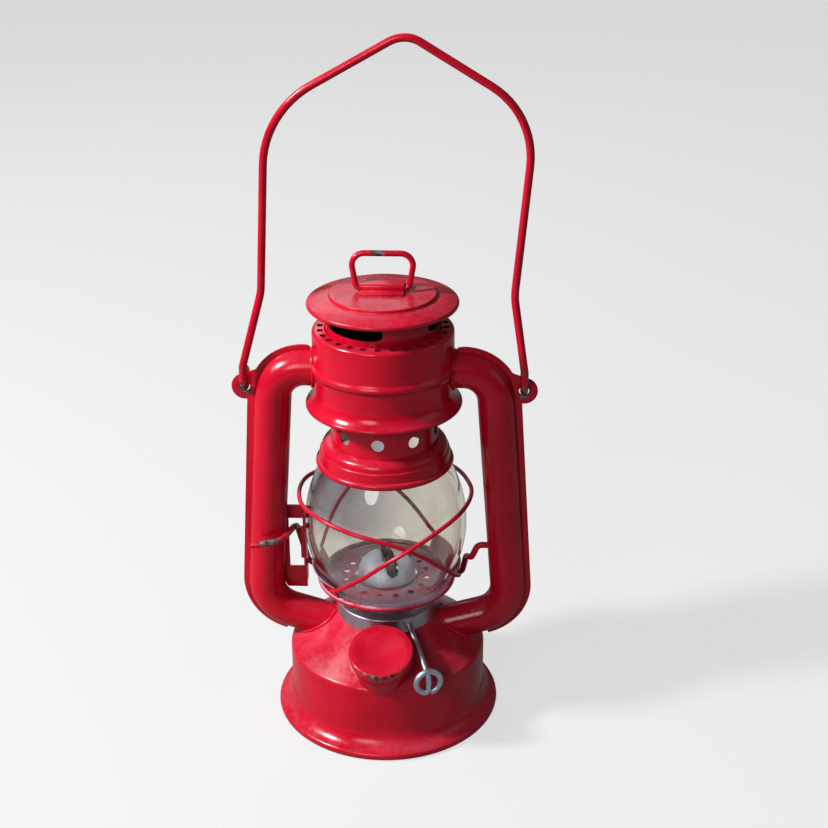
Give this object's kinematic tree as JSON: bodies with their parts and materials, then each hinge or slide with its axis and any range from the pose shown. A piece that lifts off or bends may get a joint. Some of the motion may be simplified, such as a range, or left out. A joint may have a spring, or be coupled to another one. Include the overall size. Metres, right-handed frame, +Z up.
{
  "type": "hurricane lantern",
  "caption": "Small wind-proof oil lantern with a tank, air tubes, glass globe on a lever-lifted plate, vented canopy, chimney cap, screw filler, wick knob and wire bail.",
  "frame": {"origin": "centre of the foot on the surface the lantern stands on", "axes": "+Z up, +X to the right air tube, -Y towards the filler cap"},
  "size_m": [0.1292, 0.1008, 0.3026],
  "materials": {
    "red_paint": "gloss enamel, dusty and chipped",
    "red_wire": "gloss enamel, worn at the bends",
    "tin": "bare tinplate",
    "steel_wire": "bare steel wire",
    "glass": "clear, slightly smoked",
    "cork": "cork",
    "wick": "woven cotton",
    "brass": "stamped"
  },
  "bodies": {
    "frame": {"tank_shell": "red_paint", "tank_floor": "red_paint", "fuel_deck": "tin", "burner_collar": "tin", "burner_drum": "tin", "burner_base": "tin", "burner_gallery": "tin", "burner_cone": "tin", "wick_tube": "tin", "shaft_bearing": "tin", "filler_neck": "red_paint", "left_elbow": "red_paint", "right_elbow": "red_paint", "left_spigot": "red_paint", "right_spigot": "red_paint", "left_tube": "red_paint", "right_tube": "red_paint", "canopy": "red_paint", "lever_bracket": "red_paint"},
    "carriage": {"globe_plate": "red_paint", "globe_glass": "glass", "left_guard": "red_wire", "right_guard": "red_wire"},
    "lever": {"lift_lever": "red_wire"},
    "chimney": {"globe_ring": "red_paint", "chimney_tube": "red_paint", "cap_disc": "red_paint", "cap_strap": "red_paint"},
    "ring": {"lift_ring": "red_wire"},
    "bail": {"bail_handle": "red_wire"},
    "gasket": {"filler_gasket": "cork"},
    "cap": {"filler_cap": "red_paint"},
    "wick": {"wick": "wick"},
    "knob": {"wick_shaft": "steel_wire", "wick_wheels": "brass"}
  },
  "joints": [
    {"name": "globe_lift", "type": "slide", "parent": "frame", "child": "carriage", "axis": [0, 0, 1], "range_m": [-0.009, 0]},
    {"name": "lever_swing", "type": "hinge", "parent": "frame", "child": "lever", "pos_m": [0.0445, 0, 0.0806], "axis": [0, -1, 0], "range_deg": [0, 11.7]},
    {"name": "chimney_lift", "type": "slide", "parent": "carriage", "child": "chimney", "axis": [0, 0, 1], "range_m": [0, 0.012]},
    {"name": "ring_tip", "type": "hinge", "parent": "chimney", "child": "ring", "pos_m": [0, 0, 0.1999], "axis": [1, 0, 0], "range_deg": [-76, 92]},
    {"name": "bail_swing", "type": "hinge", "parent": "frame", "child": "bail", "pos_m": [0, 0, 0.1592], "axis": [1, 0, 0], "range_deg": [-130, 98]},
    {"name": "cap_lift", "type": "slide", "parent": "frame", "child": "gasket", "axis": [0, -0.342, 0.9397], "range_m": [0, 0.003]},
    {"name": "cap_turn", "type": "hinge", "parent": "gasket", "child": "cap", "pos_m": [0, -0.0379, 0.0495], "axis": [0, -0.342, 0.9397], "range_deg": [0, 430]},
    {"name": "wick_raise", "type": "slide", "parent": "frame", "child": "wick", "axis": [0, 0, 1], "range_m": [-0.0038, 0.00285]},
    {"name": "knob_turn", "type": "hinge", "parent": "frame", "child": "knob", "pos_m": [0.00376, 0.00137, 0.0568], "axis": [-0.3271, 0.8986, 0.2924], "range_deg": [-80, 60]}
  ],
  "couplings": [
    {"joint": "lever_swing", "follows": "globe_lift", "rad_per_m": -22.5},
    {"joint": "cap_lift", "follows": "cap_turn", "m_per_rad": 0.00039789},
    {"joint": "knob_turn", "follows": "wick_raise", "rad_per_m": 366.9}
  ]
}
